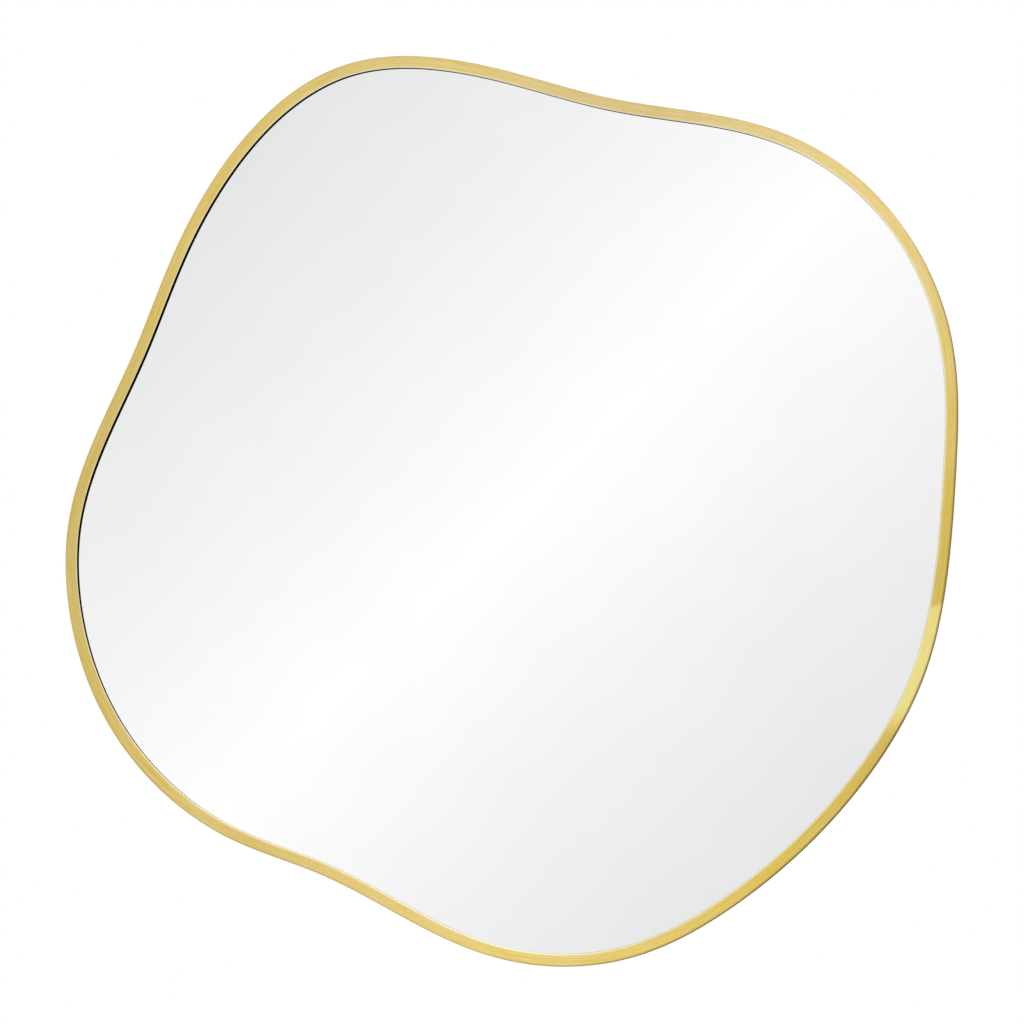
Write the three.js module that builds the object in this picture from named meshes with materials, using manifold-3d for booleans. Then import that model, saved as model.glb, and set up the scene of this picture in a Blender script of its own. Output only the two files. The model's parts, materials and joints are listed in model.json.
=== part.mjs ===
// Irregular wall mirror: a bent, brushed-brass tube frame round a glass that is bonded to a backing board.
// Millimetres, +Z up. The front faces -Y and the wall is the plane Y = 0, with the origin at its middle.

import * as THREE from 'three';
import { mergeVertices } from 'three/addons/utils/BufferGeometryUtils.js';
import Module from 'manifold-3d';

const wasm = await Module();
wasm.setup();

// ---------- Driving dimensions ----------

const OVERALL_HEIGHT = 914;

// Points that the frame's outer face passes through, x to the right and z up as seen from the front.
const DRAWN_OUTLINE = [
  [446, 37], [441, 175], [349, 332], [261, 382], [102, 413], [-18, 445], [-162, 450],
  [-334, 272], [-380, 160], [-445, -9], [-446, -87], [-400, -221], [-281, -329], [-192, -364],
  [-18, -447], [120, -448], [224, -396], [351, -276], [416, -161], [438, -60],
];

// Frame tube
const BAR_WIDTH = 12;
const BAR_DEPTH = 22;
const BAR_WALL = 1.2;
const BAR_EDGE_RADIUS = 0.9;
const BAR_STEPS = 176;
const SEAM_DIRECTION = -12.5; // degrees round from +X, where the two ends of the bar meet
const SEAM_GAP = 0.3;

// Joiner inside the tube, across the seam
const JOINER_LENGTH = 64;
const JOINER_STEPS = 6;
const JOINER_CLEARANCE = 0.3;
const JOINER_SCREW_SPACING = 34;
const JOINER_SCREW = { radius: 2, length: 9, headRadius: 3.6, headHeight: 1.4 };

// Glass, its safety film, the adhesive strips and the backing board, from front to back
const GLASS_RECESS = 3;
const GLASS_THICKNESS = 4;
const GLASS_GAP = 0.3;
const GLASS_GAP_EXTRA = 1.25; // more gap on the side below, where the glass was cut small
const GLASS_GAP_EXTRA_DIRECTION = 150;
const FILM_THICKNESS = 0.2;
const FILM_INSET = 1;
const ADHESIVE_THICKNESS = 0.8;
const ADHESIVE_WIDTH = 25;
const ADHESIVE_COUNT = 5;
const ADHESIVE_SIDE_MARGIN = 135; // from the glass's sides to the middle of the outer strips
const ADHESIVE_END_MARGIN = 45;
const BOARD_THICKNESS = 9;
const BOARD_GAP = 0.5;

// L tabs that are welded inside the frame and hold the board
const TAB_COUNT = 8;
const TAB_WIDTH = 16;
const TAB_REACH = 16;
const TAB_HEIGHT = 4.5;
const TAB_THICKNESS = 1.2;
const TAB_GAP = 0.4;
const TAB_HOLE_FROM_END = 6;

// Wood screws, for the tabs and the hangers, and what all the screws share
const WOOD_SCREW = { radius: 1.75, length: 8, headRadius: 3.4, headHeight: 2.2 };
const SCREW_CLEARANCE = 0.25;
const SCREW_TIP_CLEARANCE = 0.4;
const SCREW_TIP = 1.6; // length of the tip, in radii of the shank
const SCREW_SOCKET = 0.42; // radius of the socket, in radii of the head
const SCREW_SOCKET_DEPTH = 0.6; // in heights of the head
const SCREW_HEAD_EDGE = 0.35; // chamfer, in heights of the head
const SCREW_SIDES = 12;
const CUT_OVERRUN = 0.5; // how far a cutter runs past the face that it opens

// Hangers: a strap that is rolled round the straight side of a D ring
const HANGER_SIDE_MARGIN = 215; // of the two hangers together, from the glass's sides
const HANGER_TOP_MARGIN = 229; // from the glass's top to the rings' axis
const STRAP_WIDTH = 14;
const STRAP_THICKNESS = 1.2;
const STRAP_FIRST_HOLE = 24; // below the ring's axis
const STRAP_HOLE_PITCH = 17;
const STRAP_ROLL_END = 100; // degrees past the outermost point of the roll
const STRAP_CURVE_SEGMENTS = 12;
const RING_WIRE_RADIUS = 1.25;
const RING_INNER_WIDTH = 24;
const RING_LEG = 2;
const RING_CORNER_RADIUS = 3;
const RING_END_GAP = 0.4; // where the ends of the wire meet, inside the roll
const RING_CLEARANCE = 0.25;
const RING_REST_GAP = 0.3;
const RING_STEPS = 44;
const RING_SECTION_SEGMENTS = 5;

// Rubber bumpers between the frame and the wall
const BUMPER_DIRECTIONS = [40, 125, 222, 305];
const BUMPER_RADIUS = 5;
const BUMPER_THICKNESS = 2;
const BUMPER_CHAMFER = 0.6;
const BUMPER_SIDES = 16;

// ---------- Places along Y, from the wall to the front ----------

const FRAME_BACK_Y = -BUMPER_THICKNESS;
const FRAME_FRONT_Y = FRAME_BACK_Y - BAR_DEPTH;
const GLASS_FRONT_Y = FRAME_FRONT_Y + GLASS_RECESS;
const GLASS_BACK_Y = GLASS_FRONT_Y + GLASS_THICKNESS;
const FILM_BACK_Y = GLASS_BACK_Y + FILM_THICKNESS;
const BOARD_FRONT_Y = FILM_BACK_Y + ADHESIVE_THICKNESS;
const BOARD_BACK_Y = BOARD_FRONT_Y + BOARD_THICKNESS;

// ---------- Materials ----------

const finish = (color, roughness, metalness) => ({ color, roughness, metalness });
const BRUSHED_BRASS = finish(0xd9bd74, 0.34, 1);
const BRIGHT_STEEL = finish(0xb9bcc0, 0.3, 1);
const GALVANISED = finish(0x9da1a5, 0.45, 1);
const SILVERED_GLASS = finish(0xe9eeec, 0.03, 1);
const GREY_FILM = finish(0x8f9496, 0.6, 0);
const WHITE_FOAM = finish(0xe8e6e0, 0.9, 0);
const BLACK_BOARD = finish(0x1c1a18, 0.8, 0);
const BLACK_RUBBER = finish(0x17181a, 0.85, 0);

function named(name, geometry, look) {
  const mesh = new THREE.Mesh(geometry, new THREE.MeshStandardMaterial(look));
  mesh.name = name;
  return mesh;
}

// ---------- Solids ----------

function solidOf(geometry) {
  const bare = geometry.clone();
  bare.deleteAttribute('normal');
  bare.deleteAttribute('uv');
  const merged = mergeVertices(bare, 1e-4);
  return new wasm.Manifold(new wasm.Mesh({
    numProp: 3,
    vertProperties: merged.attributes.position.array,
    triVerts: Uint32Array.from(merged.index.array),
  }));
}

function geometryOf(solid) {
  const mesh = solid.getMesh();
  const geometry = new THREE.BufferGeometry();
  geometry.setAttribute('position', new THREE.BufferAttribute(mesh.vertProperties, 3));
  geometry.setIndex(new THREE.BufferAttribute(mesh.triVerts, 1));
  geometry.computeVertexNormals();
  return geometry;
}

function cut(geometry, tools) {
  let solid = solidOf(geometry);
  for (const tool of tools) {
    solid = solid.subtract(solidOf(tool));
  }
  return geometryOf(solid);
}

// A round bar along Y, such as a hole's cutter.
function roundBar(radius, x, z, fromY, toY) {
  const bar = new THREE.CylinderGeometry(radius, radius, toY - fromY, SCREW_SIDES);
  return bar.translate(x, (fromY + toY) / 2, z);
}

// A flat plate of any outline in X and Z.
function plate(shape, frontY, backY) {
  const thickness = backY - frontY;
  const slab = new THREE.ExtrudeGeometry(shape, { depth: thickness, bevelEnabled: false });
  return slab.rotateX(Math.PI / 2).translate(0, backY, 0);
}

// ---------- The outline ----------

const SPLINE_ROUNDS = 60;
const SPLINE_DIVISIONS = 2400;
const DIRECTION_STEPS = 720;

// Smooth closed curve through points: a periodic cubic spline over the lengths of the chords.
class ClosedSpline extends THREE.Curve {
  constructor(points) {
    super();
    this.points = points;
    this.chords = points.map((p, i) => p.distanceTo(points[(i + 1) % points.length]));
    this.length = this.chords.reduce((sum, chord) => sum + chord, 0);
    this.bends = this.solveBends();
    this.arcLengthDivisions = SPLINE_DIVISIONS;
  }

  // The second derivative at each point, by rounds of averaging, which settle fast for a spline.
  solveBends() {
    const { points, chords } = this;
    const count = points.length;
    const bends = points.map(() => new THREE.Vector3());
    for (let round = 0; round < SPLINE_ROUNDS; round += 1) {
      for (let i = 0; i < count; i += 1) {
        const before = (i + count - 1) % count;
        const after = (i + 1) % count;
        const slopeIn = points[i].clone().sub(points[before]).divideScalar(chords[before]);
        const slopeOut = points[after].clone().sub(points[i]).divideScalar(chords[i]);
        bends[i].copy(slopeOut).sub(slopeIn).multiplyScalar(6)
          .addScaledVector(bends[before], -chords[before])
          .addScaledVector(bends[after], -chords[i])
          .divideScalar(2 * (chords[before] + chords[i]));
      }
    }
    return bends;
  }

  getPoint(share, target = new THREE.Vector3()) {
    let left = THREE.MathUtils.euclideanModulo(share, 1) * this.length;
    let i = 0;
    while (left > this.chords[i] && i < this.chords.length - 1) {
      left -= this.chords[i];
      i += 1;
    }
    const next = (i + 1) % this.points.length;
    const chord = this.chords[i];
    const right = chord - left;
    return target.set(0, 0, 0)
      .addScaledVector(this.points[i], right / chord)
      .addScaledVector(this.points[next], left / chord)
      .addScaledVector(this.bends[i], (right ** 3 / chord - right * chord) / 6)
      .addScaledVector(this.bends[next], (left ** 3 / chord - left * chord) / 6);
  }
}

function boxOf(curve) {
  return new THREE.Box3().setFromPoints(curve.getPoints(SPLINE_DIVISIONS));
}

// The drawn outline at its real height, with the middle of its box on the Y axis.
function makeOutline() {
  const drawn = DRAWN_OUTLINE.map(([x, z]) => new THREE.Vector3(x, 0, z));
  const box = boxOf(new ClosedSpline(drawn));
  const middle = box.getCenter(new THREE.Vector3());
  const scale = OVERALL_HEIGHT / (box.max.z - box.min.z);
  return new ClosedSpline(drawn.map((p) => p.clone().sub(middle).multiplyScalar(scale)));
}

const outline = makeOutline();
const outlineLength = outline.getLength();

// Place on the frame's outer face, and the outward normal there. Shares of the length run anticlockwise.
function outlineAt(share) {
  const u = THREE.MathUtils.euclideanModulo(share, 1);
  const tangent = outline.getTangentAt(u);
  return { point: outline.getPointAt(u), normal: new THREE.Vector3(tangent.z, 0, -tangent.x) };
}

function directionOf(vector) {
  return THREE.MathUtils.radToDeg(Math.atan2(vector.z, vector.x));
}

// The share of the length at which the outline lies in a direction from the middle.
function shareToward(direction) {
  const away = (share) => {
    const turn = directionOf(outlineAt(share).point) - direction;
    return Math.abs(THREE.MathUtils.euclideanModulo(turn + 180, 360) - 180);
  };
  let best = 0;
  for (let step = 1; step < DIRECTION_STEPS; step += 1) {
    if (away(step / DIRECTION_STEPS) < away(best)) {
      best = step / DIRECTION_STEPS;
    }
  }
  return best;
}

const seamShare = shareToward(SEAM_DIRECTION);

// The outline moved in, by an amount that may depend on the normal, as points in X and Z.
function insetPoints(insetFor) {
  const points = [];
  for (let step = 0; step < BAR_STEPS; step += 1) {
    const { point, normal } = outlineAt(seamShare + step / BAR_STEPS);
    point.addScaledVector(normal, -insetFor(normal));
    points.push(new THREE.Vector2(point.x, point.z));
  }
  return points;
}

// A group at a place on the outline, with its X axis along the outward normal.
function groupAt(share) {
  const { point, normal } = outlineAt(share);
  const group = new THREE.Group();
  group.position.copy(point);
  group.rotation.y = -THREE.MathUtils.degToRad(directionOf(normal));
  return group;
}

// ---------- Frame ----------

// A stretch of the outline between two shares of its length, as the path of a sweep.
class OutlineStretch extends THREE.Curve {
  constructor(fromShare, toShare, y) {
    super();
    Object.assign(this, { fromShare, toShare, y, arcLengthDivisions: 4 * BAR_STEPS });
  }

  getPoint(t, target = new THREE.Vector3()) {
    const share = THREE.MathUtils.lerp(this.fromShare, this.toShare, t);
    target.copy(outline.getPointAt(THREE.MathUtils.euclideanModulo(share, 1)));
    return target.setY(this.y);
  }
}

// A rounded rectangle in a sweep's own axes: x runs to the front and y runs out from the path.
function roundedSection(front, back, outer, inner, radius, segments) {
  const corners = [
    [front - radius, outer - radius, 0],
    [back + radius, outer - radius, 90],
    [back + radius, inner + radius, 180],
    [front - radius, inner + radius, 270],
  ];
  const points = [];
  for (const [x, y, start] of corners) {
    for (let step = 0; step <= segments; step += 1) {
      const angle = THREE.MathUtils.degToRad(start + (90 * step) / segments);
      points.push(new THREE.Vector2(x + radius * Math.cos(angle), y + radius * Math.sin(angle)));
    }
  }
  return points;
}

function rectangle(front, back, outer, inner) {
  const corners = [[front, inner], [front, outer], [back, outer], [back, inner]];
  return corners.map(([x, y]) => new THREE.Vector2(x, y));
}

function joinerScrewPlaces() {
  return [-0.5, 0.5].map((side) => {
    const { point, normal } = outlineAt(seamShare + (side * JOINER_SCREW_SPACING) / outlineLength);
    return point.addScaledVector(normal, -BAR_WIDTH / 2);
  });
}

function makeFrameBar() {
  const section = new THREE.Shape(roundedSection(BAR_DEPTH, 0, 0, -BAR_WIDTH, BAR_EDGE_RADIUS, 2));
  const hollow = rectangle(BAR_DEPTH - BAR_WALL, BAR_WALL, -BAR_WALL, BAR_WALL - BAR_WIDTH);
  section.holes.push(new THREE.Path(hollow));
  const half = SEAM_GAP / 2 / outlineLength;
  const path = new OutlineStretch(seamShare + half, seamShare + 1 - half, FRAME_BACK_Y);
  const settings = { steps: BAR_STEPS, extrudePath: path, bevelEnabled: false };
  const bar = new THREE.ExtrudeGeometry(section, settings);
  const radius = JOINER_SCREW.radius + SCREW_CLEARANCE;
  const fromY = FRAME_BACK_Y - BAR_WALL - CUT_OVERRUN;
  const toY = FRAME_BACK_Y + CUT_OVERRUN;
  const holes = joinerScrewPlaces().map((p) => roundBar(radius, p.x, p.z, fromY, toY));
  return named('frame_bar', cut(bar, holes), BRUSHED_BRASS);
}

function makeJoiner() {
  const inset = BAR_WALL + JOINER_CLEARANCE;
  const section = new THREE.Shape(rectangle(BAR_DEPTH - inset, inset, -inset, inset - BAR_WIDTH));
  const half = JOINER_LENGTH / 2 / outlineLength;
  const path = new OutlineStretch(seamShare - half, seamShare + half, FRAME_BACK_Y);
  const settings = { steps: JOINER_STEPS, extrudePath: path, bevelEnabled: false };
  const block = new THREE.ExtrudeGeometry(section, settings);
  const radius = JOINER_SCREW.radius + SCREW_CLEARANCE;
  const fromY = FRAME_BACK_Y - JOINER_SCREW.length - SCREW_TIP_CLEARANCE;
  const toY = FRAME_BACK_Y;
  const holes = joinerScrewPlaces().map((p) => roundBar(radius, p.x, p.z, fromY, toY));
  return named('frame_joiner', cut(block, holes), BRIGHT_STEEL);
}

// ---------- Screws ----------

// A screw whose head sits on the plane y = 0 and whose shank runs to -Y, with a socket in its head.
function screwGeometry({ radius, length, headRadius, headHeight }) {
  const tip = radius * SCREW_TIP;
  const edge = headHeight * SCREW_HEAD_EDGE;
  const socketRadius = headRadius * SCREW_SOCKET;
  const socketFloor = headHeight * (1 - SCREW_SOCKET_DEPTH);
  const profile = [
    [0, -length], [radius, tip - length], [radius, 0], [headRadius, 0],
    [headRadius, headHeight - edge], [headRadius - edge, headHeight],
    [socketRadius, headHeight], [socketRadius, socketFloor], [0, socketFloor],
  ];
  return new THREE.LatheGeometry(profile.map(([x, y]) => new THREE.Vector2(x, y)), SCREW_SIDES);
}

function screwMesh(name, size, x, y, z) {
  const mesh = named(name, screwGeometry(size), BRIGHT_STEEL);
  mesh.position.set(x, y, z);
  return mesh;
}

// ---------- Glass, film, adhesive and board ----------

function glassInset(normal) {
  const turn = THREE.MathUtils.degToRad(directionOf(normal) - GLASS_GAP_EXTRA_DIRECTION);
  return BAR_WIDTH + GLASS_GAP + GLASS_GAP_EXTRA * Math.max(0, Math.cos(turn));
}

const glassPoints = insetPoints(glassInset);
const glassBox = new THREE.Box2().setFromPoints(glassPoints);
const glassWidth = glassBox.max.x - glassBox.min.x;

function makeGlass() {
  const slab = plate(new THREE.Shape(glassPoints), GLASS_FRONT_Y, GLASS_BACK_Y);
  return named('mirror_glass', slab, SILVERED_GLASS);
}

function makeFilm() {
  const points = insetPoints((normal) => glassInset(normal) + FILM_INSET);
  return named('safety_film', plate(new THREE.Shape(points), GLASS_BACK_Y, FILM_BACK_Y), GREY_FILM);
}

// The heights at which the glass begins and ends along an upright line.
function glassSpanAt(x) {
  const heights = [];
  glassPoints.forEach((a, i) => {
    const b = glassPoints[(i + 1) % glassPoints.length];
    if ((a.x - x) * (b.x - x) < 0) {
      heights.push(THREE.MathUtils.mapLinear(x, a.x, b.x, a.y, b.y));
    }
  });
  return [Math.min(...heights), Math.max(...heights)];
}

function makeAdhesiveStrips() {
  const strips = [];
  const pitch = (glassWidth - 2 * ADHESIVE_SIDE_MARGIN) / (ADHESIVE_COUNT - 1);
  for (let i = 0; i < ADHESIVE_COUNT; i += 1) {
    const x = glassBox.min.x + ADHESIVE_SIDE_MARGIN + i * pitch;
    const edges = [glassSpanAt(x - ADHESIVE_WIDTH / 2), glassSpanAt(x + ADHESIVE_WIDTH / 2)];
    const bottom = Math.max(...edges.map(([low]) => low)) + ADHESIVE_END_MARGIN;
    const top = Math.min(...edges.map(([, high]) => high)) - ADHESIVE_END_MARGIN;
    const strip = new THREE.BoxGeometry(ADHESIVE_WIDTH, ADHESIVE_THICKNESS, top - bottom);
    const mesh = named(`adhesive_strip_${i + 1}`, strip, WHITE_FOAM);
    mesh.position.set(x, FILM_BACK_Y + ADHESIVE_THICKNESS / 2, (top + bottom) / 2);
    strips.push(mesh);
  }
  return strips;
}

// ---------- Retaining tabs ----------

const tabShares = Array.from({ length: TAB_COUNT }, (_, i) => seamShare + (i + 0.5) / TAB_COUNT);
const tabOuterX = -BAR_WIDTH - TAB_GAP;
const tabHoleX = tabOuterX - TAB_REACH + TAB_HOLE_FROM_END;

function tabScrewPlace(share) {
  const { point, normal } = outlineAt(share);
  return point.addScaledVector(normal, tabHoleX);
}

// An L that stands against the frame's inner wall and lies on the board.
function makeTab(share, number) {
  const wall = BOARD_BACK_Y + TAB_THICKNESS;
  const top = BOARD_BACK_Y + TAB_HEIGHT;
  const section = new THREE.Shape([
    [tabOuterX - TAB_REACH, BOARD_BACK_Y], [tabOuterX, BOARD_BACK_Y], [tabOuterX, top],
    [tabOuterX - TAB_THICKNESS, top], [tabOuterX - TAB_THICKNESS, wall],
    [tabOuterX - TAB_REACH, wall],
  ].map(([x, y]) => new THREE.Vector2(x, y)));
  const bracket = new THREE.ExtrudeGeometry(section, { depth: TAB_WIDTH, bevelEnabled: false });
  bracket.translate(0, 0, -TAB_WIDTH / 2);
  const radius = WOOD_SCREW.radius + SCREW_CLEARANCE;
  const hole = roundBar(radius, tabHoleX, 0, BOARD_BACK_Y - CUT_OVERRUN, wall + CUT_OVERRUN);
  const group = groupAt(share);
  group.add(named(`retaining_tab_${number}`, cut(bracket, [hole]), GALVANISED));
  group.add(screwMesh(`tab_screw_${number}`, WOOD_SCREW, tabHoleX, wall, 0));
  return group;
}

// ---------- Hangers ----------

const ringAxisOut = STRAP_THICKNESS + RING_CLEARANCE + RING_WIRE_RADIUS; // from the board
const strapHoles = [STRAP_FIRST_HOLE, STRAP_FIRST_HOLE + STRAP_HOLE_PITCH];
const ringHalfWidth = RING_INNER_WIDTH / 2 + RING_WIRE_RADIUS;
const ringReach = RING_CORNER_RADIUS + RING_LEG + ringHalfWidth;

// The middle of the glass, so that the mirror hangs level.
function glassMiddleX() {
  let area = 0;
  let moment = 0;
  glassPoints.forEach((a, i) => {
    const b = glassPoints[(i + 1) % glassPoints.length];
    const cross = a.cross(b);
    area += cross / 2;
    moment += ((a.x + b.x) * cross) / 6;
  });
  return moment / area;
}

const hangerZ = glassBox.max.y - HANGER_TOP_MARGIN;
const hangerSides = [['left', -1], ['right', 1]].map(([side, sign]) => (
  { side, x: glassMiddleX() + sign * (glassWidth / 2 - HANGER_SIDE_MARGIN) }
));

// The strap from the side, y out from the board and z up: a flat leg that rolls round the ring's wire.
function strapGeometry() {
  const inner = RING_WIRE_RADIUS + RING_CLEARANCE;
  const outer = inner + STRAP_THICKNESS;
  const end = strapHoles[1] + STRAP_WIDTH / 2;
  const rollEnd = THREE.MathUtils.degToRad(-STRAP_ROLL_END);
  const side = new THREE.Shape();
  side.moveTo(0, -end);
  side.lineTo(0, 0);
  side.absarc(outer, 0, outer, Math.PI, rollEnd, true);
  side.absarc(outer, 0, inner, rollEnd, Math.PI, false);
  side.lineTo(STRAP_THICKNESS, -end);
  const settings = { bevelEnabled: false, curveSegments: STRAP_CURVE_SEGMENTS };
  const bent = new THREE.ExtrudeGeometry(side, { depth: STRAP_WIDTH, ...settings });
  const axes = new THREE.Matrix4().makeBasis(
    new THREE.Vector3(0, 1, 0), new THREE.Vector3(0, 0, 1), new THREE.Vector3(1, 0, 0),
  );
  bent.applyMatrix4(axes).translate(-STRAP_WIDTH / 2, 0, 0);

  // The leg's end is rounded by what lies inside this plan, which is wide enough to clear the rest.
  const plan = new THREE.Shape();
  plan.moveTo(STRAP_WIDTH, 2 * outer);
  plan.lineTo(-STRAP_WIDTH, 2 * outer);
  plan.lineTo(-STRAP_WIDTH / 2, -strapHoles[1]);
  plan.absarc(0, -strapHoles[1], STRAP_WIDTH / 2, Math.PI, 2 * Math.PI, false);
  const roundEnd = new THREE.ExtrudeGeometry(plan, { depth: 4 * outer, ...settings });
  roundEnd.rotateX(Math.PI / 2).translate(0, 3 * outer, 0);

  let strap = solidOf(bent).intersect(solidOf(roundEnd));
  for (const below of strapHoles) {
    const radius = WOOD_SCREW.radius + SCREW_CLEARANCE;
    const hole = roundBar(radius, 0, -below, -CUT_OVERRUN, STRAP_THICKNESS + CUT_OVERRUN);
    strap = strap.subtract(solidOf(hole));
  }
  return geometryOf(strap);
}

// The D of bent wire: a straight side on the X axis, rounded corners, short legs and a half circle.
class RingPath extends THREE.Curve {
  constructor() {
    super();
    const corner = RING_CORNER_RADIUS;
    const straight = ringHalfWidth - corner;
    const shape = new THREE.Path();
    shape.moveTo(RING_END_GAP / 2, 0);
    shape.lineTo(straight, 0);
    shape.absarc(straight, corner, corner, -Math.PI / 2, 0, false);
    shape.lineTo(ringHalfWidth, corner + RING_LEG);
    shape.absarc(0, corner + RING_LEG, ringHalfWidth, 0, Math.PI, false);
    shape.lineTo(-ringHalfWidth, corner);
    shape.absarc(-straight, corner, corner, Math.PI, 1.5 * Math.PI, false);
    shape.lineTo(-RING_END_GAP / 2, 0);
    this.shape = shape;
  }

  getPoint(t, target = new THREE.Vector3()) {
    const p = this.shape.getPointAt(t);
    return target.set(p.x, 0, p.y);
  }
}

function ringGeometry() {
  const wire = new THREE.Shape().absarc(0, 0, RING_WIRE_RADIUS, 0, 2 * Math.PI, false);
  const settings = { steps: RING_STEPS, curveSegments: RING_SECTION_SEGMENTS, bevelEnabled: false };
  return new THREE.ExtrudeGeometry(wire, { extrudePath: new RingPath(), ...settings });
}

function makeHanger({ side, x }) {
  const group = new THREE.Group();
  group.position.set(x, BOARD_BACK_Y, hangerZ);
  group.add(named(`hanger_strap_${side}`, strapGeometry(), GALVANISED));
  const ring = named(`hanger_ring_${side}`, ringGeometry(), BRIGHT_STEEL);
  ring.position.y = ringAxisOut;
  ring.rotation.x = Math.asin((ringAxisOut - RING_WIRE_RADIUS - RING_REST_GAP) / ringReach);
  group.add(ring);
  strapHoles.forEach((below, i) => {
    const name = `hanger_screw_${side}_${i + 1}`;
    group.add(screwMesh(name, WOOD_SCREW, 0, STRAP_THICKNESS, -below));
  });
  return group;
}

// ---------- Backing board, drilled for the wood screws ----------

function makeBoard() {
  const points = insetPoints(() => BAR_WIDTH + BOARD_GAP);
  const board = plate(new THREE.Shape(points), BOARD_FRONT_Y, BOARD_BACK_Y);
  const places = tabShares.map(tabScrewPlace);
  for (const { x } of hangerSides) {
    for (const below of strapHoles) {
      places.push(new THREE.Vector3(x, 0, hangerZ - below));
    }
  }
  const radius = WOOD_SCREW.radius + SCREW_CLEARANCE;
  const floor = BOARD_BACK_Y + STRAP_THICKNESS - WOOD_SCREW.length - SCREW_TIP_CLEARANCE;
  const pilots = places.map((p) => roundBar(radius, p.x, p.z, floor, BOARD_BACK_Y + CUT_OVERRUN));
  return named('backing_board', cut(board, pilots), BLACK_BOARD);
}

// ---------- Bumpers ----------

function makeBumper(direction, number) {
  const profile = [
    [0, -BUMPER_THICKNESS], [BUMPER_RADIUS, -BUMPER_THICKNESS], [BUMPER_RADIUS, -BUMPER_CHAMFER],
    [BUMPER_RADIUS - BUMPER_CHAMFER, 0], [0, 0],
  ];
  const pad = new THREE.LatheGeometry(profile.map(([x, y]) => new THREE.Vector2(x, y)), BUMPER_SIDES);
  const group = groupAt(shareToward(direction));
  const mesh = named(`wall_bumper_${number}`, pad, BLACK_RUBBER);
  mesh.position.x = -BAR_WIDTH / 2;
  group.add(mesh);
  return group;
}

// ---------- Assembly ----------

const mirror = new THREE.Group();
mirror.add(makeFrameBar(), makeJoiner());
joinerScrewPlaces().forEach((p, i) => {
  mirror.add(screwMesh(`joiner_screw_${i + 1}`, JOINER_SCREW, p.x, FRAME_BACK_Y, p.z));
});
mirror.add(makeGlass(), makeFilm(), ...makeAdhesiveStrips(), makeBoard());
tabShares.forEach((share, i) => mirror.add(makeTab(share, i + 1)));
hangerSides.forEach((hanger) => mirror.add(makeHanger(hanger)));
BUMPER_DIRECTIONS.forEach((direction, i) => mirror.add(makeBumper(direction, i + 1)));

export default mirror;
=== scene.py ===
"""Irregular wall mirror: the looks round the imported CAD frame. Metres, front towards -Y, +Z up."""

import json
import math

import bmesh
import bpy
import numpy as np
from mathutils import Matrix, Quaternion, Vector


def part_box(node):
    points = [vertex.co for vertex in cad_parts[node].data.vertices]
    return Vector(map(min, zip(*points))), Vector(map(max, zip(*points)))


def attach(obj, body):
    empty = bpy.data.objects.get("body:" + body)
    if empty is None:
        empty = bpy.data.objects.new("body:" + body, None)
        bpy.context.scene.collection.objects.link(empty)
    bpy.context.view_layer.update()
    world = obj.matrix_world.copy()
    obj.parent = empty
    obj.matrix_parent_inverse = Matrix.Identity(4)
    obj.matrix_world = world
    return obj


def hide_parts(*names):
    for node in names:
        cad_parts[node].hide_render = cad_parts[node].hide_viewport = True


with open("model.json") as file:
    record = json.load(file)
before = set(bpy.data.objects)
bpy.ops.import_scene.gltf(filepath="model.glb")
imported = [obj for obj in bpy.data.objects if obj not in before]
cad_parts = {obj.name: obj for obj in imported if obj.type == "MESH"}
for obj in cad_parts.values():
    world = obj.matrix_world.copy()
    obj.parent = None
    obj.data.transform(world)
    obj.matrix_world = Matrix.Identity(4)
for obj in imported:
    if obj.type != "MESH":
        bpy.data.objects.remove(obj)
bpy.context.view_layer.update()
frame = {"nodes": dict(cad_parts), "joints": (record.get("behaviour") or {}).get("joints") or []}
nodes = frame["nodes"]

BODY = "mirror"
MM = 0.001

# Sizes that the CAD model also has
BAR_WIDTH = 12 * MM
BOARD_GAP = 0.5 * MM
STRAP_WIDTH = 14 * MM
STRAP_THICKNESS = 1.2 * MM
RING_WIRE = 1.25 * MM
RING_CLEARANCE = 0.25 * MM
TAB_THICKNESS = 1.2 * MM
HOLE_RADIUS = 2 * MM  # for the wood screws, in straps and tabs
WOOD_SCREW = {"radius": 1.75 * MM, "length": 8 * MM, "head": 3.4 * MM, "height": 2.2 * MM}
JOINER_SCREW = {"radius": 2 * MM, "length": 9 * MM, "head": 3.6 * MM, "height": 1.4 * MM}

# Where the looks depart from the CAD model
RING_STATIONS = 1440
EASE = 1.1 * MM
SKIN = 0.12 * MM  # the smooth outline stays this far inside the CAD polygon's corners


# ---------- Curves ----------


def front_ring(name):
    """The corners of a CAD plate's front face, in order round the middle, as (x, z) rows."""
    low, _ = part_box(name)
    found = {
        (round(v.co.x, 6), round(v.co.z, 6))
        for v in nodes[name].data.vertices
        if abs(v.co.y - low.y) < 1e-6
    }
    return np.array(sorted(found, key=lambda p: math.atan2(p[1], p[0])))


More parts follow.
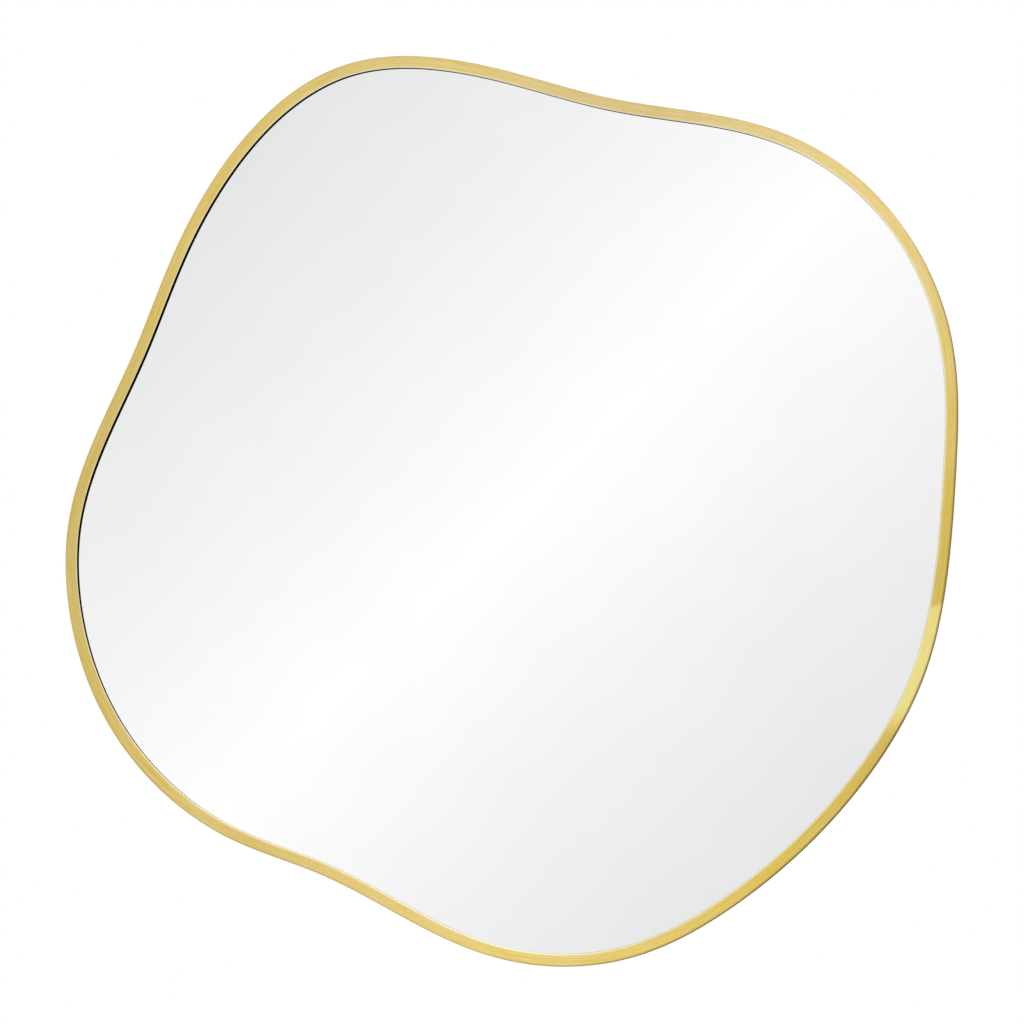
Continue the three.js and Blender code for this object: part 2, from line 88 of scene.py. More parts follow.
class ClosedCurve:
    """A periodic cubic through points, with places along it found by arc length."""

    def __init__(self, points, density=24):
        n = len(points)
        after = np.roll(points, -1, axis=0)
        chord = np.linalg.norm(after - points, axis=1)
        slope = (after - points) / chord[:, None]
        before = np.roll(chord, 1)
        rows = np.arange(n)
        system = np.zeros((n, n))
        system[rows, rows] = 2 * (before + chord)
        system[rows, (rows - 1) % n] = before
        system[rows, (rows + 1) % n] = chord
        bend = np.linalg.solve(system, 6 * (slope - np.roll(slope, 1, axis=0)))
        t = np.arange(density) / density
        fine = []
        for i in range(n):
            j = (i + 1) % n
            h = chord[i]
            left, right = (t * h)[:, None], ((1 - t) * h)[:, None]
            fine.append(
                points[i] * right / h
                + points[j] * left / h
                + bend[i] * (right**3 / h - right * h) / 6
                + bend[j] * (left**3 / h - left * h) / 6
            )
        self.fine = np.vstack([*fine, fine[0][:1]])
        steps = np.linalg.norm(np.diff(self.fine, axis=0), axis=1)
        self.places = np.concatenate([[0], np.cumsum(steps)])
        self.length = self.places[-1]

    def at(self, places):
        """Points at distances along the curve."""
        wrapped = np.mod(places, self.length)
        columns = [np.interp(wrapped, self.places, self.fine[:, k]) for k in (0, 1)]
        return np.stack(columns, axis=-1)

    def normals(self, places):
        """Outward unit normals at distances along the curve, which runs anticlockwise."""
        reach = 2 * MM
        along = self.at(np.asarray(places) + reach) - self.at(np.asarray(places) - reach)
        along /= np.linalg.norm(along, axis=-1, keepdims=True)
        return np.stack([along[..., 1], -along[..., 0]], axis=-1)

    def nearest(self, point):
        """Distance along the curve of the place nearest to a point."""
        gaps = np.linalg.norm(self.fine - np.asarray(point), axis=1)
        return self.places[int(np.argmin(gaps))]


def offset_curve(curve, outward, count):
    """The closed curve that lies a distance outside another."""
    places = np.arange(count) * curve.length / count
    return ClosedCurve(curve.at(places) + curve.normals(places) * outward)


board_edge = ClosedCurve(front_ring("backing_board"))
outline = offset_curve(board_edge, BAR_WIDTH + BOARD_GAP - SKIN, 720)
glass_edge = ClosedCurve(front_ring("mirror_glass"))

joiner_low, joiner_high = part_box("frame_joiner")
joiner_middle = (joiner_low + joiner_high) / 2
seam_place = outline.nearest((joiner_middle.x, joiner_middle.z))


# ---------- Meshes ----------


def piece(name, verts, faces, normals=None, uvs=None, smooth=True):
    """A mesh object. normals has one per vertex and uvs one per face corner."""
    mesh = bpy.data.meshes.new(name)
    mesh.from_pydata([tuple(v) for v in verts], [], [tuple(f) for f in faces])
    mesh.polygons.foreach_set("use_smooth", [smooth] * len(mesh.polygons))
    if uvs is not None:
        layer = mesh.uv_layers.new(name="bar")
        layer.data.foreach_set("uv", np.asarray(uvs, np.float32).ravel())
    mesh.update()
    if normals is not None:
        mesh.normals_split_custom_set_from_vertices([tuple(n) for n in normals])
    made = bpy.data.objects.new(name, mesh)
    bpy.context.scene.collection.objects.link(made)
    return made


def dress(made, body, slot, *replaced):
    """Says what a finished piece rides on and stands for. The slot argument is not used."""
    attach(made, body)
    if replaced:
        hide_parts(*replaced)
    return made


def rounded_rectangle(low, high, radius, segments):
    """Points and normals round a rectangle in two axes, anticlockwise from the +x side."""
    corners = [
        (high[0] - radius, high[1] - radius, 0),
        (low[0] + radius, high[1] - radius, 90),
        (low[0] + radius, low[1] + radius, 180),
        (high[0] - radius, low[1] + radius, 270),
    ]
    points, normals = [], []
    for x, y, start in corners:
        for step in range(segments + 1):
            angle = math.radians(start + 90 * step / segments)
            normal = (math.cos(angle), math.sin(angle))
            points.append((x + radius * normal[0], y + radius * normal[1]))
            normals.append(normal)
    return points, normals


def sweep_ring(name, curve, start, profile, profile_normals, count=RING_STATIONS):
    """Sweeps a closed profile of (out, y) round a closed curve. UVs are metres along and round."""
    places = start + np.arange(count) * curve.length / count
    base, out = curve.at(places), curve.normals(places)
    m = len(profile)
    around = [0.0]
    for a, b in zip(profile, profile[1:] + profile[:1]):
        around.append(around[-1] + math.dist(a, b))
    verts, normals, faces, uvs = [], [], [], []
    for k in range(count):
        for (r, y), (nr, ny) in zip(profile, profile_normals):
            x, z = base[k] + out[k] * r
            verts.append((x, y, z))
            normals.append((out[k][0] * nr, ny, out[k][1] * nr))
    for k in range(count):
        u0, u1 = (curve.length * s / count for s in (k, k + 1))
        here, there = k * m, ((k + 1) % count) * m
        for j in range(m):
            j1 = (j + 1) % m
            faces.append((here + j, here + j1, there + j1, there + j))
            v0, v1 = around[j], around[j + 1]
            uvs += [(u0, v0), (u0, v1), (u1, v1), (u1, v0)]
    return piece(name, verts, faces, normals, uvs)


# ---------- Materials ----------


class Paint:
    """A node material with a Principled shader, and short ways to add nodes to it."""

    def __init__(self, name, **sockets):
        self.material = bpy.data.materials.new(name)
        self.material.use_nodes = True
        self.tree = self.material.node_tree
        self.shader = self.tree.nodes["Principled BSDF"]
        for key, value in sockets.items():
            self.shader.inputs[key.replace("_", " ")].default_value = value
        self.coords = None

    def node(self, kind, inputs=None, **settings):
        made = self.tree.nodes.new(kind)
        for key, value in settings.items():
            setattr(made, key, value)
        for key, value in (inputs or {}).items():
            if isinstance(value, bpy.types.NodeSocket):
                self.tree.links.new(value, made.inputs[key])
            else:
                made.inputs[key].default_value = value
        return made

    def place(self, scale):
        """Object coordinates times a scale for each axis."""
        if self.coords is None:
            self.coords = self.node("ShaderNodeTexCoord").outputs["Object"]
        return self.stretch(self.coords, scale)

    def uv(self, scale):
        return self.stretch(self.node("ShaderNodeUVMap", uv_map="bar").outputs["UV"], scale)

    def stretch(self, vector, scale):
        made = self.node("ShaderNodeMapping", {"Vector": vector, "Scale": scale})
        return made.outputs["Vector"]

    def noise(self, vector, scale=1.0, detail=3.0, roughness=0.55):
        made = self.node(
            "ShaderNodeTexNoise",
            {"Vector": vector, "Scale": scale, "Detail": detail, "Roughness": roughness},
        )
        return made.outputs["Fac"]

    def ramp(self, fac, low, high, to_low=0.0, to_high=1.0, smooth=False):
        made = self.node(
            "ShaderNodeMapRange",
            {0: fac, 1: low, 2: high, 3: to_low, 4: to_high},
            interpolation_type="SMOOTHSTEP" if smooth else "LINEAR",
        )
        return made.outputs["Result"]

    def calc(self, operation, a, b=0.0, c=0.0):
        made = self.node("ShaderNodeMath", {0: a, 1: b, 2: c}, operation=operation)
        return made.outputs["Value"]

    def blend(self, fac, a, b, mode="MIX"):
        made = self.node("ShaderNodeMix", data_type="RGBA", blend_type=mode)
        for socket, value in zip((made.inputs[0], made.inputs[6], made.inputs[7]), (fac, a, b)):
            if isinstance(value, bpy.types.NodeSocket):
                self.tree.links.new(value, socket)
            else:
                socket.default_value = value
        return made.outputs[2]

    def bump(self, height, distance, strength=1.0, normal=None):
        inputs = {"Height": height, "Distance": distance, "Strength": strength}
        if normal is not None:
            inputs["Normal"] = normal
        return self.node("ShaderNodeBump", inputs).outputs["Normal"]

    def set(self, **links):
        for key, value in links.items():
            self.tree.links.new(value, self.shader.inputs[key.replace("_", " ")])


def rgb(hexcode):
    """A colour as it is written, in linear light."""
    parts = [int(hexcode[k : k + 2], 16) / 255 for k in (0, 2, 4)]
    return (*[c / 12.92 if c <= 0.04045 else ((c + 0.055) / 1.055) ** 2.4 for c in parts], 1)


def waves(paint, turn, level, terms):
    """A slow swell round a closed bar: a level plus (count, amount, phase in degrees) terms."""
    total = level
    for count, amount, phase in terms:
        angle = paint.calc("MULTIPLY_ADD", turn, 2 * math.pi * count, -math.radians(phase))
        total = paint.calc("MULTIPLY_ADD", paint.calc("COSINE", angle), amount, total)
    return total


# Slow changes round the bar, from the seam anticlockwise, all painted light or shade: how pale the painted
# sheen is, how far forward the painted gap shade reaches, how deep the outer edge's painted shade and how
# strong the lip's painted highlight are, and the painted sheen's brightness
SHEEN_PALE_LEVEL, SHEEN_PALE_WAVES = 0.5, ((1, 0.21, 121), (2, 0.26, 160), (3, 0.085, 157))
GAP_SHADE_LEVEL, GAP_SHADE_WAVES = -1.35 * MM, ((1, 2.69 * MM, 170),)
EDGE_SHADE_LEVEL, EDGE_SHADE_WAVES = 0.9, ((1, 0.25, 60),)
LIP_GLINT_LEVEL, LIP_GLINT_WAVES = 0.7, ((1, 0.3, 40),)
SHEEN_LEVEL, SHEEN_WAVES = 1.05, ((1, 0.057, -55), (2, 0.054, -92), (3, 0.07, 123), (4, 0.04, 163))

# The seam, and the dressed length below it that is painted brighter as a painted highlight
SEAM_SLANT = (5 * MM, -3 * MM)  # along the bar, at the face's inner and outer edge
SEAM_SOFTNESS = 3.5 * MM
DRESSED_FADE = (106 * MM, 148 * MM)
DRESSED_RISE = 60 * MM


def brushed_brass(name, length, face_inner, face_outer):
    """Brushed brass with its grain along the bar. The face's two edges are given as values of v."""
    paint = Paint(
        name, Metallic=1.0, Roughness=0.4, Anisotropic=0.7, Anisotropic_Rotation=0.25,
        Specular_Tint=(0.15, 0.12, 0.08, 1),
    )
    split = paint.node("ShaderNodeSeparateXYZ", {"Vector": paint.uv((1, 1, 1))})
    along, across = split.outputs["X"], split.outputs["Y"]
    turn = paint.calc("DIVIDE", along, length)

    fine = paint.noise(paint.uv((60, 5200, 1)), detail=2.0)
    coarse = paint.noise(paint.uv((14, 900, 1)), detail=3.0)
    cloudy = paint.noise(paint.uv((9, 60, 1)), detail=4.0, roughness=0.6)

    # The slow waves of paleness are a painted sheen tint; the cloudy and coarse noise is the brass's own
    # random tone.
    pale = paint.calc("MAXIMUM", waves(paint, turn, SHEEN_PALE_LEVEL, SHEEN_PALE_WAVES), 0.2)
    pale = paint.calc("ADD", pale, paint.ramp(cloudy, 0.3, 0.7, -0.1, 0.1))
    pale = paint.calc("ADD", pale, paint.ramp(coarse, 0.3, 0.7, -0.45, 0.45))
    colour = paint.blend(pale, rgb("e1c356"), rgb("e6d092"))

    # Regions round the bar's section
    outer = paint.ramp(across, face_outer - 3.0 * MM, face_outer - 0.2 * MM, smooth=True)
    wall = paint.ramp(across, face_outer + 0.1 * MM, face_outer + 1.2 * MM, smooth=True)
    rear = paint.ramp(across, face_inner - 20.7 * MM, face_inner - 19.8 * MM, 1.0, 0.0, smooth=True)
    inside = paint.ramp(across, face_inner - 2.0 * MM, face_inner - 1.0 * MM)
    inner = paint.ramp(across, face_inner + 0.6 * MM, face_inner + 4.2 * MM, 1.0, 0.0, smooth=True)
    inner = paint.calc("MULTIPLY", inner, inside)
    lip = paint.ramp(across, face_inner + 0.9 * MM, face_inner + 2.3 * MM, 1.0, 0.0, smooth=True)
    lip = paint.calc("MULTIPLY", lip, inside)
    front = paint.calc("SUBTRACT", 1.0, paint.calc("MAXIMUM", wall, rear))

    # Above the slanting seam the bar has its plain finish. Below it the weld was dressed, and that length
    # is painted brighter as a painted highlight.
    past_half = paint.calc("GREATER_THAN", turn, 0.5)
    below_seam = paint.calc("MULTIPLY_ADD", past_half, length, paint.calc("MULTIPLY", along, -1.0))
    slant = paint.ramp(across, face_inner, face_outer, *SEAM_SLANT)
    from_seam = paint.calc("SUBTRACT", below_seam, slant)
    start = paint.ramp(from_seam, -SEAM_SOFTNESS, SEAM_SOFTNESS, smooth=True)
    stop = paint.ramp(from_seam, *DRESSED_FADE, 1.0, 0.0, smooth=True)
    swell = paint.ramp(from_seam, 0.0, DRESSED_RISE, 0.82, 1.0, smooth=True)
    dressed_highlight = paint.calc("MULTIPLY", paint.calc("MULTIPLY", start, stop), swell)
    dressed_highlight = paint.calc("MULTIPLY", dressed_highlight, paint.ramp(front, 0.0, 1.0, 0.3, 1.0))
    colour = paint.blend(dressed_highlight, colour, rgb("ffee96"))

    # Painted shade darkens the outer edge, most at the right, and the walls and the back; a painted
    # highlight makes the inner edge and lip pale.
    # Painted shade on the outer edge band, far darker towards the right
    toward_right = paint.calc("COSINE", paint.calc("MULTIPLY_ADD", turn, 2 * math.pi, math.radians(-3)))
    right = paint.calc("POWER", paint.calc("MAXIMUM", toward_right, 0.0), 6.0)
    edge_shade = paint.blend(right, (0.79, 0.73, 0.64, 1), (0.5, 0.47, 0.47, 1))
    edge_shade_depth = waves(paint, turn, EDGE_SHADE_LEVEL, EDGE_SHADE_WAVES)
    edge = paint.calc("MULTIPLY", paint.calc("MULTIPLY", outer, front), edge_shade_depth)
    lip_glint = waves(paint, turn, LIP_GLINT_LEVEL, LIP_GLINT_WAVES)
    colour = paint.blend(edge, colour, edge_shade, "MULTIPLY")
    # Painted shade: the walls darkened and dulled, and the back a little darker
    colour = paint.blend(wall, colour, (0.54, 0.49, 0.44, 1), "MULTIPLY")
    colour = paint.blend(paint.calc("MULTIPLY", wall, 0.15), colour, rgb("b8a888"))
    colour = paint.blend(rear, colour, (0.9, 0.86, 0.78, 1), "MULTIPLY")
    # Painted highlight: the inner edge made pale, and the lip paler still
    colour = paint.blend(paint.calc("MULTIPLY", inner, 0.28), colour, rgb("fff2cc"))
    colour = paint.blend(paint.calc("MULTIPLY", lip, lip_glint), colour, rgb("fff6da"))

    # Painted shade: a black band on the inner wall where the gap lies in shade, from the board's back to an
    # edge that rises onto the lip at the left
    gap_shade_edge = waves(paint, turn, face_inner + GAP_SHADE_LEVEL, GAP_SHADE_WAVES)
    past_edge = paint.calc("SUBTRACT", across, gap_shade_edge)
    gap_shaded = paint.calc(
        "MULTIPLY",
        paint.ramp(past_edge, -0.12 * MM, 0.12 * MM, 1.0, 0.0),
        paint.ramp(across, face_inner - 15.9 * MM, face_inner - 15.3 * MM),
    )
    colour = paint.blend(gap_shaded, colour, rgb("080706"))

    # Bright and dark streaks of the grain, and a slow swell of painted sheen round the bar
    streak = paint.calc(
        "ADD", paint.ramp(fine, 0.3, 0.7, -0.1, 0.1), paint.ramp(coarse, 0.3, 0.7, -0.055, 0.055)
    )
    tone = paint.calc("ADD", waves(paint, turn, SHEEN_LEVEL, SHEEN_WAVES), streak)
    toned = paint.node("ShaderNodeVectorMath", {0: colour, "Scale": tone}, operation="SCALE")
    paint.set(Base_Color=toned.outputs["Vector"])
    rough = paint.calc(
        "ADD", paint.ramp(coarse, 0.2, 0.8, 0.36, 0.44), paint.ramp(fine, 0.2, 0.8, -0.03, 0.03)
    )
    paint.set(Roughness=rough)
    tangent = paint.node("ShaderNodeTangent", direction_type="UV_MAP", uv_map="bar")
    paint.set(Tangent=tangent.outputs["Tangent"])
    grain = paint.calc("ADD", fine, paint.calc("MULTIPLY", coarse, 1.5))
    paint.set(Normal=paint.bump(grain, 0.012 * MM, 0.6))
    return paint.material


def silvered_glass(name):
    """The front of the pane: silver behind clear glass, with the faintest haze and roll wave."""
    paint = Paint(name, Metallic=1.0, Roughness=0.02, Coat_Weight=0.3, Coat_Roughness=0.0, Coat_IOR=1.52)
    haze = paint.noise(paint.place((9, 9, 9)), detail=4.0)
    paint.set(Base_Color=paint.blend(paint.ramp(haze, 0.3, 0.7), rgb("fcfcfc"), rgb("fefefe")))
    paint.set(Roughness=paint.ramp(haze, 0.3, 0.7, 0.004, 0.012))
    wave = paint.noise(paint.place((1.2, 1, 7)), detail=1.0)
    paint.set(Normal=paint.bump(wave, 0.02 * MM, 0.15))
    return paint.material


def glass_rim(name):
    """The pane's ground edge, dark green in depth."""
    paint = Paint(name, Roughness=0.32, IOR=1.52, Coat_Weight=0.4, Coat_Roughness=0.1)
    cut = paint.noise(paint.place((160, 900, 160)), detail=3.0)
    paint.set(Base_Color=paint.blend(cut, rgb("3f5a50"), rgb("6f8b80")))
    paint.set(Normal=paint.bump(cut, 0.03 * MM, 0.5))
    return paint.material


def backing_paint(name, shade, tint):
    """Flat paint, film or foam with a fine mottle."""
    paint = Paint(name, Roughness=0.6)
    mottle = paint.noise(paint.place((45, 45, 45)), detail=5.0)
    paint.set(Base_Color=paint.blend(mottle, rgb(shade), rgb(tint)))
    grit = paint.noise(paint.place((900, 900, 900)), detail=2.0)
    paint.set(Normal=paint.bump(grit, 0.03 * MM, 0.4))
    return paint.material


def black_board(name):
    """Fibreboard: a matt black face with fine pebbling and faint streaks, and a sawn brown edge."""
    paint = Paint(name, Roughness=0.62, Specular_IOR_Level=0.4)
    cloud = paint.noise(paint.place((9, 9, 9)), detail=5.0, roughness=0.6)
    rolled = paint.noise(paint.place((80, 1, 3)), detail=4.0)
    speck = paint.noise(paint.place((420, 420, 420)), detail=3.0)
    dust = paint.noise(paint.place((120, 120, 120)), detail=3.0)
    face = paint.blend(paint.ramp(cloud, 0.3, 0.7), rgb("171615"), rgb("272524"))
    face = paint.blend(paint.ramp(rolled, 0.4, 0.65, 0.0, 0.5), face, rgb("353331"))
    face = paint.blend(paint.ramp(speck, 0.5, 0.75, 0.0, 0.5), face, rgb("0d0d0c"))
    face = paint.blend(paint.ramp(dust, 0.62, 0.8, 0.0, 0.4), face, rgb("5a5752"))
    fibre = paint.noise(paint.place((260, 900, 260)), detail=4.0)
    edge = paint.blend(fibre, rgb("4a3524"), rgb("7a5c40"))
    normal = paint.node("ShaderNodeTexCoord").outputs["Normal"]
    facing = paint.node("ShaderNodeSeparateXYZ", {"Vector": normal})
    flat = paint.ramp(paint.calc("ABSOLUTE", facing.outputs["Y"]), 0.5, 0.8)
    paint.set(Base_Color=paint.blend(flat, edge, face))
    rough = paint.calc("ADD", paint.ramp(cloud, 0.3, 0.7, 0.5, 0.66), paint.ramp(dust, 0.5, 0.8, 0.0, 0.15))
    paint.set(Roughness=rough)
    pebble = paint.node("ShaderNodeTexVoronoi", {"Vector": paint.place((700, 700, 700)), "Scale": 1.0})
    paint.set(Normal=paint.bump(pebble.outputs["Distance"], 0.05 * MM, 0.35))
    return paint.material


def plated_steel(name, dark, light, grain, rough):
    """Plated or galvanised steel, with cloudy tone and rolling marks."""
    paint = Paint(name, Metallic=1.0, Roughness=rough)
    cloud = paint.noise(paint.place((140, 140, 140)), detail=5.0, roughness=0.65)
    marks = paint.noise(paint.place(grain), detail=3.0)
    colour = paint.blend(paint.ramp(cloud, 0.3, 0.7), rgb(dark), rgb(light))
    paint.set(Base_Color=paint.blend(paint.ramp(marks, 0.55, 0.75, 0.0, 0.3), colour, rgb("f0f2f4")))
    paint.set(Roughness=paint.ramp(cloud, 0.3, 0.7, rough - 0.08, rough + 0.1))
    paint.set(Normal=paint.bump(marks, 0.02 * MM, 0.5))
    return paint.material


def rubber(name):
    """Matt black rubber with a greyish bloom."""
    paint = Paint(name, Roughness=0.72, Specular_IOR_Level=0.35)
    bloom = paint.noise(paint.place((180, 180, 180)), detail=4.0)
    paint.set(Base_Color=paint.blend(bloom, rgb("141516"), rgb("2b2c2e")))
    grit = paint.noise(paint.place((1500, 1500, 1500)), detail=2.0)
    paint.set(Normal=paint.bump(grit, 0.04 * MM, 0.5))
    return paint.material


def weld_metal(name):
    """A small brazed bead: dull, with heat colour."""
    paint = Paint(name, Metallic=1.0, Roughness=0.5)
    heat = paint.noise(paint.place((300, 300, 300)), detail=4.0)
    paint.set(Base_Color=paint.blend(paint.ramp(heat, 0.3, 0.7), rgb("6d6352"), rgb("a8915f")))
    paint.set(Normal=paint.bump(heat, 0.15 * MM, 0.5))
    return paint.material


# ---------- Frame bar ----------

bar_low, bar_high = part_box("frame_bar")
bar_profile, bar_normals = rounded_rectangle((-BAR_WIDTH, bar_low.y), (0, bar_high.y), EASE, 7)
bar_around = [0.0]
for here, there in zip(bar_profile, bar_profile[1:] + bar_profile[:1]):
    bar_around.append(bar_around[-1] + math.dist(here, there))
FACE_OUTER = bar_around[-1] - (bar_high.y - bar_low.y - 2 * EASE)
FACE_INNER = FACE_OUTER - (BAR_WIDTH - 2 * EASE) - math.pi * EASE
bar = sweep_ring("frame_tube", outline, seam_place, bar_profile, bar_normals)
bar.data.materials.append(brushed_brass("brushed_brass", outline.length, FACE_INNER, FACE_OUTER))
dress(bar, BODY, "brushed_brass", "frame_bar")


# ---------- Mirror pane ----------


def plate_rings(name, curve, front, back, bevel, count, steps=4):
    """A closed plate with rounded edges. Material 0 is its front, 1 its rim and 2 its back."""
    places = np.arange(count) * curve.length / count
    base, out = curve.at(places), curve.normals(places)
    middle = base.mean(axis=0)
    shares = (0.2, 0.4, 0.6, 0.8, 0.94)
    inner = base - out * bevel
    rings = [(middle + (inner - middle) * s, front, 0.0, -1.0, 0) for s in shares]
    for step in range(steps + 1):
        angle = math.radians(90 * step / steps)
        inset, rise = bevel * (1 - math.sin(angle)), bevel * (1 - math.cos(angle))
        rings.append((base - out * inset, front + rise, math.sin(angle), -math.cos(angle), 1))
    for step in range(steps, -1, -1):
        angle = math.radians(90 * step / steps)
        inset, rise = bevel * (1 - math.sin(angle)), bevel * (1 - math.cos(angle))
        rings.append((base - out * inset, back - rise, math.sin(angle), math.cos(angle), 1))
    rings += [(middle + (inner - middle) * s, back, 0.0, 1.0, 2) for s in shares[::-1]]
    verts, normals, faces, tags = [], [], [], []
    for points, y, across, facing, _ in rings:
        for p, n in zip(points, out):
            verts.append((p[0], y, p[1]))
            normals.append((n[0] * across, facing, n[1] * across))
    for k in range(len(rings) - 1):
        tag = 0 if rings[k][4] == 0 else (2 if rings[k + 1][4] == 2 else 1)
        for j in range(count):
            j1 = (j + 1) % count
            a, b = k * count, (k + 1) * count
            faces.append((a + j, b + j, b + j1, a + j1))
            tags.append(tag)
    first, last = len(verts), len(verts) + 1
    verts += [(middle[0], front, middle[1]), (middle[0], back, middle[1])]
    normals += [(0, -1, 0), (0, 1, 0)]
    end = (len(rings) - 1) * count
    for j in range(count):
        j1 = (j + 1) % count
        faces += [(first, j, j1), (end + j, last, end + j1)]
        tags += [0, 2]
    made = piece(name, verts, faces, normals)
    made.data.polygons.foreach_set("material_index", tags)
    return made


glass_low, glass_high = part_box("mirror_glass")
pane = plate_rings("mirror_pane", glass_edge, glass_low.y, glass_high.y, 0.1 * MM, 720)
pane.data.materials.append(silvered_glass("silvered_glass"))
pane.data.materials.append(glass_rim("glass_rim"))
pane.data.materials.append(backing_paint("mirror_backing", "5b6062", "6d7274"))
dress(pane, BODY, "silvered_glass", "mirror_glass")


# ---------- Hardware ----------


def lathe(name, profile, sides, smooth=True):
    """Turns (radius, y) points that start and end on the Y axis."""
    verts, rows = [], []
    for radius, y in profile:
        if radius < 1e-9:
            rows.append([len(verts)] * sides)
            verts.append((0, y, 0))
            continue
        row = []
        for k in range(sides):
            angle = 2 * math.pi * k / sides
            row.append(len(verts))
            verts.append((radius * math.cos(angle), y, radius * math.sin(angle)))
        rows.append(row)
    faces = []
    for a, b in zip(rows, rows[1:]):
        for k in range(sides):
            k1 = (k + 1) % sides
            corners = dict.fromkeys((a[k], b[k], b[k1], a[k1]))
            faces.append(tuple(corners))
    return piece(name, verts, faces, smooth=smooth)


def face_outward(made):
    """Turns a closed mesh's faces outward."""
    mesh = bmesh.new()
    mesh.from_mesh(made.data)
    bmesh.ops.recalc_face_normals(mesh, faces=mesh.faces)
    mesh.to_mesh(made.data)
    mesh.free()
    return made


def prism(name, outline_points, depth_axis, low, high):
    """A flat outline pushed along one axis. The points give the other two axes, in the order x, y, z."""
    n = len(outline_points)
    spot = "xyz".index(depth_axis)
    verts = [(*p[:spot], d, *p[spot:]) for d in (low, high) for p in outline_points]
    faces = [tuple(range(n)), tuple(range(2 * n - 1, n - 1, -1))]
    faces += [(k, k + n, (k + 1) % n + n, (k + 1) % n) for k in range(n)]
    return face_outward(piece(name, verts, faces, smooth=False))


def carve(made, tool, operation="DIFFERENCE"):
    """Cuts one mesh by another, or keeps only what they share, and drops the tool."""
    cut = made.modifiers.new("cut", "BOOLEAN")
    cut.object, cut.operation, cut.solver = tool, operation, "EXACT"
    bake(made)
    bpy.data.objects.remove(tool)
    return made


def bore(made, low, high, at):
    """Drills a screw hole along Y."""
    hole = lathe("hole", [(0, low), (HOLE_RADIUS, low), (HOLE_RADIUS, high), (0, high)], 32)
    hole.data.transform(Matrix.Translation(at))
    carve(made, hole)


def bake(made):
    """Turns a piece's modifiers into its mesh."""
    bpy.context.view_layer.update()
    mesh = bpy.data.meshes.new_from_object(made.evaluated_get(bpy.context.evaluated_depsgraph_get()))
    made.modifiers.clear()
    made.data = mesh


def soften(made, width, segments=2, angle=35):
    """Rounds a sheet-metal piece's sharp edges and shades it smooth."""
    bevel = made.modifiers.new("edges", "BEVEL")
    bevel.width, bevel.segments, bevel.limit_method = width, segments, "ANGLE"
    bevel.angle_limit = math.radians(angle)
    bevel.harden_normals = True
    made.data.polygons.foreach_set("use_smooth", [True] * len(made.data.polygons))
    bake(made)
    return made


def copy_of(source, name):
    made = bpy.data.objects.new(name, source.data)
    bpy.context.scene.collection.objects.link(made)
    return made


def arc(cx, cy, radius, start, end, steps):
    """Points on an arc, in degrees."""
    turns = [math.radians(start + (end - start) * k / steps) for k in range(steps + 1)]
    return [(cx + radius * math.cos(t), cy + radius * math.sin(t)) for t in turns]


def screw_body(name, size, drive):
    """A pan-head screw along -Y, its head's seat at y = 0, with a cross or hexagon drive."""
    radius, length, head, height = (size[k] for k in ("radius", "length", "head", "height"))
    root, pitch = radius * 0.76, radius * 0.7
    profile = [(0, -length), (root * 0.35, -length + radius * 0.5), (root * 0.8, -length + radius * 1.3)]
    y = -length + radius * 1.3
    while y + pitch < -radius * 0.4:
        profile += [(root, y + pitch * 0.2), (radius, y + pitch * 0.5), (root, y + pitch * 0.8)]
        y += pitch
    profile += [(root, -radius * 0.25), (radius, -radius * 0.05), (radius, 0), (head * 0.97, 0)]
    profile += [(head, height * 0.06), (head, height * 0.22)]
    crown = 10
    for k in range(1, crown + 1):
        angle = math.radians(90 * k / crown)
        across = head * math.cos(angle) ** 0.62 if k < crown else 0
        profile.append((across, height * (0.22 + 0.78 * math.sin(angle))))
    made = lathe(name, profile, 36)
    if drive == "cross":
        half, reach, top, bottom = head * 0.085, head * 0.46, height * 1.2, height * 0.25
        shape = [(-reach, top), (reach, top), (reach * 0.45, bottom), (-reach * 0.45, bottom)]
        for k in range(2):
            arm = prism("arm", shape, "z", -half, half)
            if k:
                arm.data.transform(Matrix.Rotation(math.pi / 2, 4, "Y"))
            carve(made, arm)
    else:
        socket = prism("socket", arc(0, 0, head * 0.46, 0, 300, 5), "y", height * 0.4, height * 1.5)
        carve(made, socket)
    made.data.polygons.foreach_set("use_smooth", [True] * len(made.data.polygons))
    made.data.set_sharp_from_angle(angle=math.radians(38))
    return made


BOARD_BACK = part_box("backing_board")[1].y
zinc = plated_steel("bright_zinc", "a9adb2", "c9ccd0", (900, 90, 900), 0.28)
galvanised = plated_steel("galvanised", "8f9498", "b4b8bc", (30, 600, 600), 0.42)
black_rubber = rubber("black_rubber")
weld_look = weld_metal("brazing")

wood_screw = screw_body("wood_screw_master", WOOD_SCREW, "cross")
machine_screw = screw_body("machine_screw_master", JOINER_SCREW, "hexagon")
for master in (wood_screw, machine_screw):
    master.data.materials.clear()
    master.data.materials.append(zinc)


def put_screw(name, source, node, size, turn):
    """Puts a copy of a screw where a CAD screw is, turned by some degrees."""
    low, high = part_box(node)
    made = copy_of(source, name)
    spin = Matrix.Rotation(math.radians(turn), 4, "Y")
    seat = Vector(((low.x + high.x) / 2, high.y - size["height"], (low.z + high.z) / 2))
    made.matrix_world = Matrix.Translation(seat) @ spin
    return dress(made, BODY, "bright_steel", node)


# L tabs, each with its screw and its two brazed beads

TAB_REACH, TAB_RISE, TAB_HALF = 16 * MM, 4.5 * MM, 8 * MM
TAB_GAP = 0.4 * MM
TAB_SIDE = -BAR_WIDTH - TAB_GAP
TAB_HOLE_FROM_END = 6 * MM
TAB_SQUARE = 6 * MM  # how much of a tab keeps square edges, from the bend


